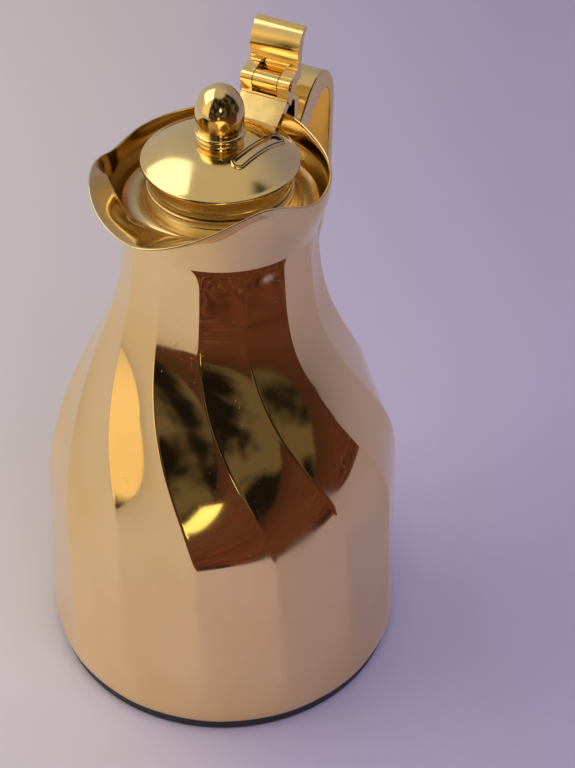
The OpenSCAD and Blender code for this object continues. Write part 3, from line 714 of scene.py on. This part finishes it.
# ---- knob ----
# A turned ball, a little taller than wide, on a grooved foot. Both are plated brass, held by a
# stud from below.
ring_top = knob_seat + 4.7
ball_z = ring_top + 6.4
ball_outline = ([(2.0, ring_top), (knob_r * 0.925, ring_top), (knob_r * 0.945, ring_top + 0.25),
                 (knob_r * 0.965, ring_top + 1.4), (knob_r * 0.985, ring_top + 3.2),
                 (knob_r * 0.997, ring_top + 5)]
                + [(knob_r * math.cos(math.radians(a)), ball_z + knob_dome * math.sin(math.radians(a)))
                   for a in range(0, 91, 3)]
                + [(0, ball_z), (2.0, ball_z)])
knob = turned("knob_ball", ball_outline, 128)
smooth_shading(knob, 40)
knob.data.materials.append(lid_gold)
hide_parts("knob")
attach(knob, "lid")

z0 = knob_seat
foot_outline = [(2.1, z0), (8.6, z0), (8.35, z0 + 0.35), (8.15, z0 + 0.9), (8.1, z0 + 1.3), (8.1, z0 + 2.1),
                (8.35, z0 + 2.35), (8.9, z0 + 2.5), (9.25, z0 + 2.75), (9.4, z0 + 3.2), (9.4, z0 + 3.8),
                (9.2, z0 + 4.2), (8.8, z0 + 4.45), (8.3, z0 + 4.55), (8.2, z0 + 4.7), (2.1, z0 + 4.7)]
knob_ring = turned("knob_foot_ring", foot_outline, 128)
apply_modifier(knob_ring, "BEVEL", width=0.12 * mm, segments=2, limit_method="ANGLE",
               angle_limit=math.radians(25))
smooth_shading(knob_ring, 50)
knob_ring.data.materials.append(lid_gold)
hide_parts("knob_ring")
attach(knob_ring, "lid")

# ---- tag ----
# A blank raised tag with round ends, soldered on the cone and bent to it. A dark line runs
# round it inside its edge.
tag_l, tag_w, tag_t = 29.0, 5.4, 0.9
tag_x, tag_y, tag_turn = 2.0, -lid_r * 0.495, math.radians(-10)


def tag_point(x, y, lift):
    """A point of the tag, from its own flat length and width to its place on the cone."""
    px = tag_x + x * math.cos(tag_turn) - y * math.sin(tag_turn)
    py = tag_y + x * math.sin(tag_turn) + y * math.cos(tag_turn)
    return (px * mm, py * mm, (cone_height(math.hypot(px, py)) + lift) * mm)


def tag_loop(inset, lift):
    """A loop round the tag, inset from its edge, raised over the cone."""
    half, radius = (tag_l - tag_w) / 2, tag_w / 2 - inset
    flat = [(-half + (i + 0.5) * 2 * half / 24, -radius) for i in range(24)]
    flat += [(half + radius * math.cos(math.radians(a)), radius * math.sin(math.radians(a)))
             for a in range(-90, 91, 15)]
    flat += [(half - (i + 0.5) * 2 * half / 24, radius) for i in range(24)]
    flat += [(-half + radius * math.cos(math.radians(a)), radius * math.sin(math.radians(a)))
             for a in range(90, 271, 15)]
    return [tag_point(x, y, lift) for x, y in flat]


tag_loops = [tag_loop(0.15, 0.02), tag_loop(0.0, 0.12), tag_loop(0.0, tag_t - 0.15),
             tag_loop(0.15, tag_t - 0.02), tag_loop(0.36, tag_t - 0.02), tag_loop(0.4, tag_t - 0.14),
             tag_loop(0.85, tag_t - 0.14), tag_loop(0.89, tag_t - 0.02), tag_loop(1.3, tag_t - 0.01)]
tag_mesh = bpy.data.meshes.new("tag_blank")
around = len(tag_loops[0])
tag_faces = [(i * around + j, i * around + (j + 1) % around,
              (i + 1) * around + (j + 1) % around, (i + 1) * around + j)
             for i in range(len(tag_loops) - 1) for j in range(around)]
tag_mesh.from_pydata([p for loop in tag_loops for p in loop], [], tag_faces)
tag = bpy.data.objects.new("tag_blank", tag_mesh)
bpy.context.collection.objects.link(tag)
pick(tag)
bpy.ops.object.mode_set(mode="EDIT")
bpy.ops.mesh.select_all(action="DESELECT")
bpy.ops.mesh.select_mode(type="EDGE")
bpy.ops.mesh.select_non_manifold()
bpy.ops.mesh.fill(use_beauty=True)
bpy.ops.mesh.select_all(action="SELECT")
bpy.ops.mesh.normals_make_consistent(inside=False)
bpy.ops.object.mode_set(mode="OBJECT")
smooth_shading(tag, 40)
tag.data.materials.append(lid_gold)
# The groove inside the tag's edge is coloured near black; the rest of the tag is gold.
groove_dark_colour = moulded("tag_groove_black", (0.01, 0.008, 0.006), (0.03, 0.022, 0.015), 0.5, 2000)
tag.data.materials.append(groove_dark_colour)
for polygon in tag.data.polygons:
    rows = sorted({index // around for index in polygon.vertices})
    if rows in ([4, 5], [5, 6], [6, 7]):
        polygon.material_index = 1
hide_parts("label_plate")
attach(tag, "lid")

# ---- leaf, knuckles and thumb lever ----
# One polished casting: a flat leaf that is brazed to the disc's edge, the two outer knuckles,
# and a plate that rises behind them to a grooved, rolled thumb piece.
foot_back = pin_x + 7.4
tip_x, tip_z = pin_x + 12, pin_z + 20
inner_y = barrel_half + side_gap
lever_outline = (
    [(foot_back - 2.9, pin_z + 0.6), (foot_back - 2.95, pin_z + 4.6), (foot_back - 3, pin_z + 7.0),
     (foot_back - 2.2, pin_z + 7.35), (foot_back - 1.9, pin_z + 8.1), (foot_back - 2.2, pin_z + 8.8),
     (foot_back - 2.9, pin_z + 9.2)]
    + bezier((foot_back - 2.9, pin_z + 9.8), (foot_back - 3.1, pin_z + 14), (foot_back - 1.6, tip_z - 4),
             (tip_x - 3.4, tip_z - 0.9), 12)
    + [(tip_x - 3.4, tip_z - 0.9), (tip_x - 2.2, tip_z - 0.25), (tip_x - 0.9, tip_z),
       (tip_x - 0.2, tip_z - 0.35), (tip_x, tip_z - 1.05), (tip_x - 0.3, tip_z - 1.8),
       (tip_x - 1.2, tip_z - 2.3)]
    + bezier((tip_x - 1.8, tip_z - 2.6), (foot_back + 2.2, tip_z - 4.4), (foot_back + 1.0, pin_z + 13),
             (foot_back, pin_z + 5), 12)
    + [(foot_back, pin_z + 5), (foot_back, pin_z - 0.3)])
top = Vector((pin_x - 3.1, pin_z - 5))
low = Vector((lid_r - 2.2, lid_z + 1.0))
run = (top - low).normalized()
under = Vector((run.y, -run.x)) * 3.0
leaf_outline = [tuple(low), tuple(low + under), tuple(top + under), tuple(top + under * 0.3 + run * 0.6),
                tuple(top - under * 0.22 + run * 0.5), tuple(top - under * 0.22 - run * 0.1), tuple(top)]
block_outline = ([(pin_x, pin_z + knuckle_r), (pin_x + 4.2, pin_z + 5), (foot_back - 1, pin_z + 7),
                  (foot_back, pin_z + 5.2), (foot_back, pin_z + 1.2), (pin_x + 3.5, pin_z - 1.5),
                  tuple(top + under + Vector((1, 0.4))), tuple(top + under), tuple(top),
                  (pin_x - knuckle_r, pin_z - 0.5)])
arm_parts = [strap("lever_plate", lever_outline, hinge_half),
             strap("lid_leaf", leaf_outline, hinge_half - 0.5)]
for low_y, high_y in ((-hinge_half, -inner_y), (inner_y, hinge_half)):
    arm_parts.append(rod("outer_knuckle", pin_x, pin_z, knuckle_r, low_y, high_y))
    arm_parts.append(strap("knuckle_block", block_outline, high_y, low_y))
disc_space = turned("disc_space", [(0, lid_z - lid_edge / 2), (lid_r - lid_edge / 2, lid_z - lid_edge / 2)]
                    + arc_points(lid_r - lid_edge / 2, lid_z, lid_edge / 2, -80, 78, 10)
                    + [(r, cone_height(r)) for r in cone_radii] + [(0, knob_seat)], 96)
arm = united("lid_arm_cast", arm_parts,
             [rod("knuckle_gap", pin_x, pin_z, knuckle_r + 0.6, -inner_y, inner_y, 64),
              rod("arm_pin_hole", pin_x, pin_z, 1.5, -hinge_half - 2, hinge_half + 2),
              disc_space])
ease_edges(arm, 0.4, 3, 30)
arm.data.materials.append(cast_gold)
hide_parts("lid_arm")
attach(arm, "lid")

# ---- floor, light and camera ----
# The jug stands on a pale sheet in a soft tent of light that is open towards the camera; the sheet carries
# painted shade, darker and more lavender towards the right.
# The opening is dark, and only reflections see it.
toward = Vector((-0.8829, -0.4695, 0))
sideways = Vector((0.4367, -0.8995, 0)).normalized()

alone()
bpy.ops.mesh.primitive_plane_add(size=2.4, location=(0, 0, -0.0001))
floor = bpy.context.object
floor.name = "floor"
sheet, sheet_tree, sheet_shader = new_material("pale_sheet_with_painted_shade", (0.62, 0.6, 0.7), 0.55)
# Painted shade: the sheet's colour grows darker and more lavender towards the right, away from the key
# light, under a faint random cloud.
sheet_place = sheet_tree.nodes.new("ShaderNodeTexCoord")
painted_shade_across = sheet_tree.nodes.new("ShaderNodeVectorMath")
painted_shade_across.operation = "DOT_PRODUCT"
painted_shade_across.inputs[1].default_value = tuple(sideways * 2.2)
sheet_tree.links.new(sheet_place.outputs["Object"], painted_shade_across.inputs[0])
sheet_cloud = noise_on_object(sheet_tree, 4, 3)
shade_plus_cloud = sheet_tree.nodes.new("ShaderNodeMath")
shade_plus_cloud.operation = "MULTIPLY_ADD"
shade_plus_cloud.inputs[1].default_value = 0.12
sheet_tree.links.new(sheet_cloud.outputs["Fac"], shade_plus_cloud.inputs[0])
sheet_tree.links.new(painted_shade_across.outputs["Value"], shade_plus_cloud.inputs[2])
shade_plus_cloud_shifted = sheet_tree.nodes.new("ShaderNodeMath")
shade_plus_cloud_shifted.inputs[1].default_value = 0.45
sheet_tree.links.new(shade_plus_cloud.outputs[0], shade_plus_cloud_shifted.inputs[0])
sheet_tree.links.new(ramp_from(sheet_tree, shade_plus_cloud_shifted.outputs[0],
                               [(0.1, (0.80, 0.79, 0.80)), (0.42, (0.72, 0.68, 0.76)),
                                (0.62, (0.60, 0.56, 0.78)), (0.9, (0.52, 0.49, 0.74))]),
                     sheet_shader.inputs["Base Color"])
sheet_grain = noise_on_object(sheet_tree, 160, 3, (1, 0.15, 1))
add_bump(sheet_tree, sheet_shader, sheet_grain.outputs["Fac"], 0.12, 0.002)
floor.data.materials.append(sheet)

alone()
bpy.ops.mesh.primitive_circle_add(vertices=6, radius=1, location=(0, 0, 0), fill_type="NGON")
flag = bpy.context.object
flag.name = "dark_flag"
flag_corners = ((0.30, -0.15), (0.20, 0.25), (0.05, 0.45), (0.6, 4.2), (2.8, 2.0), (2.8, -3.4))
for vertex, (ahead, across) in zip(flag.data.vertices, flag_corners):
    vertex.co = toward * ahead + sideways * across + Vector((0, 0, 0.0006))
flag.visible_camera = False
flag.visible_diffuse = False
flag.visible_shadow = False
dark, dark_tree, dark_shader = new_material("dark_cloth", (0.03, 0.015, 0.01), 0.9)
dark_cloud = noise_on_object(dark_tree, 26, 5)
dark_tree.links.new(ramp_from(dark_tree, dark_cloud.outputs["Fac"],
                              [(0.35, (0.02, 0.008, 0.006)), (0.47, (0.2, 0.055, 0.028)),
                               (0.56, (0.04, 0.015, 0.012)), (0.66, (0.28, 0.12, 0.07))]),
                    dark_shader.inputs["Base Color"])
flag.data.materials.append(dark)

world = bpy.data.worlds.new("light_tent")
bpy.context.scene.world = world
world.use_nodes = True
sky = world.node_tree
sky.nodes.clear()


def sky_math(operation, first, second=None, third=None):
    """One math node of the light tent; each input is a socket or a number."""
    made = sky.nodes.new("ShaderNodeMath")
    made.operation = operation
    for socket, value in zip(made.inputs, (first, second, third)):
        if value is None:
            continue
        if isinstance(value, (int, float)):
            socket.default_value = value
        else:
            sky.links.new(value, socket)
    return made.outputs[0]


def sky_step(value, low_edge, high_edge):
    """0 below the low edge, 1 above the high edge, smooth between them."""
    made = sky.nodes.new("ShaderNodeMapRange")
    made.interpolation_type = "SMOOTHSTEP"
    made.inputs["From Min"].default_value = low_edge
    made.inputs["From Max"].default_value = high_edge
    sky.links.new(value, made.inputs["Value"])
    return made.outputs["Result"]


def sky_mix(share, first, second):
    """A colour mixed from two colours or sockets."""
    made = sky.nodes.new("ShaderNodeMix")
    made.data_type = "RGBA"
    sky.links.new(share, made.inputs["Factor"])
    for socket, value in zip((made.inputs[6], made.inputs[7]), (first, second)):
        if isinstance(value, tuple):
            socket.default_value = (*value, 1)
        else:
            sky.links.new(value, socket)
    return made.outputs[2]


ray = sky.nodes.new("ShaderNodeTexCoord").outputs["Generated"]
split = sky.nodes.new("ShaderNodeSeparateXYZ")
sky.links.new(ray, split.inputs[0])
ahead = sky_math("ADD", sky_math("MULTIPLY", split.outputs["X"], toward.x),
                 sky_math("MULTIPLY", split.outputs["Y"], toward.y))
across = sky_math("ADD", sky_math("MULTIPLY", split.outputs["X"], sideways.x),
                  sky_math("MULTIPLY", split.outputs["Y"], sideways.y))
bearing = sky_math("MULTIPLY", sky_math("ARCTAN2", across, ahead), 180 / math.pi)
height = sky_math("MULTIPLY", sky_math("ARCSINE", split.outputs["Z"]), 180 / math.pi)
in_bearing = sky_math("MULTIPLY", sky_step(bearing, -52, -48),
                      sky_math("SUBTRACT", 1.0, sky_step(bearing, 98, 104)))
opening = sky_math("MULTIPLY", in_bearing, sky_math("SUBTRACT", 1.0, sky_step(height, 60, 68)))
tent = sky_mix(sky_step(across, -0.8, 0.7), (0.50, 0.48, 0.46), (0.26, 0.24, 0.33))
tent = sky_mix(sky_step(height, 25, 80), tent, (0.52, 0.46, 0.37))
glow_end = sky_math("SUBTRACT", 1.0, sky_step(bearing, -50, -47))
glow = sky_math("MULTIPLY", sky_step(bearing, -98, -78), glow_end)
glow = sky_math("MULTIPLY", glow, sky_math("SUBTRACT", 1.0, sky_step(height, 20, 50)))
tent = sky_mix(glow, tent, (1.0, 0.76, 0.40))
dark_noise = sky.nodes.new("ShaderNodeTexNoise")
dark_noise.inputs["Scale"].default_value = 4
dark_noise.inputs["Detail"].default_value = 3
sky.links.new(ray, dark_noise.inputs["Vector"])
room = sky_mix(sky_step(dark_noise.outputs["Fac"], 0.45, 0.62),
               (0.010, 0.008, 0.006), (0.13, 0.10, 0.06))
seen = sky_mix(opening, tent, room)
path = sky.nodes.new("ShaderNodeLightPath")
plain = sky_mix(path.outputs["Is Camera Ray"], seen, (0.42, 0.40, 0.50))
background = sky.nodes.new("ShaderNodeBackground")
sky.links.new(plain, background.inputs["Color"])
background.inputs["Strength"].default_value = 1.0
world_output = sky.nodes.new("ShaderNodeOutputWorld")
sky.links.new(background.outputs[0], world_output.inputs["Surface"])


def soft_box(name, place, size, power, colour, aim=(0, 0, 0.12)):
    """A square soft light that looks at the jug."""
    lamp = bpy.data.lights.new(name, "AREA")
    lamp.shape = "RECTANGLE"
    lamp.size, lamp.size_y = size
    lamp.energy = power
    lamp.color = colour
    box = bpy.data.objects.new(name, lamp)
    box.location = place
    box.rotation_mode = "QUATERNION"
    box.rotation_quaternion = (Vector(aim) - Vector(place)).to_track_quat("-Z", "Y")
    bpy.context.collection.objects.link(box)
    return box


fill = soft_box("fill_box", tuple(toward * 0.55 + sideways * 0.25 + Vector((0, 0, 1.2))), (0.9, 0.9), 6.2,
                (0.86, 0.79, 1.0), (0.05, 0, 0))
fill.visible_glossy = False
soft_box("key_box", tuple(toward * -0.2 + sideways * -0.9 + Vector((0, 0, 1.1))), (1.3, 1.0), 5.4,
         (1.0, 0.93, 0.82))
soft_box("window_box", tuple(toward * 1.6 + sideways * 0.1 + Vector((0, 0, 0.8))), (0.2, 0.3), 0.5,
         (1.0, 0.95, 0.8))
soft_box("low_window", tuple(toward * 1.3 + sideways * -0.13 + Vector((0, 0, 0.06))), (0.13, 0.12), 0.07,
         (1.0, 0.93, 0.36))

camera_data = bpy.data.cameras.new("camera")
camera_data.sensor_width = 36
camera_data.lens = 79.69
camera_data.clip_start, camera_data.clip_end = 0.01, 20
camera = bpy.data.objects.new("camera", camera_data)
right = Vector((0.43669, -0.89948, 0.01546))
up = Vector((0.58263, 0.29587, 0.75696))
forward = Vector((0.68544, 0.32155, -0.65327))
turn = Matrix((right, up, -forward)).transposed().to_4x4()
camera.matrix_world = Matrix.Translation((-0.4608, -0.2450, 0.5792)) @ turn
bpy.context.collection.objects.link(camera)
bpy.context.scene.camera = camera
bpy.context.scene.view_settings.view_transform = "Standard"
bpy.context.scene.view_settings.look = "None"
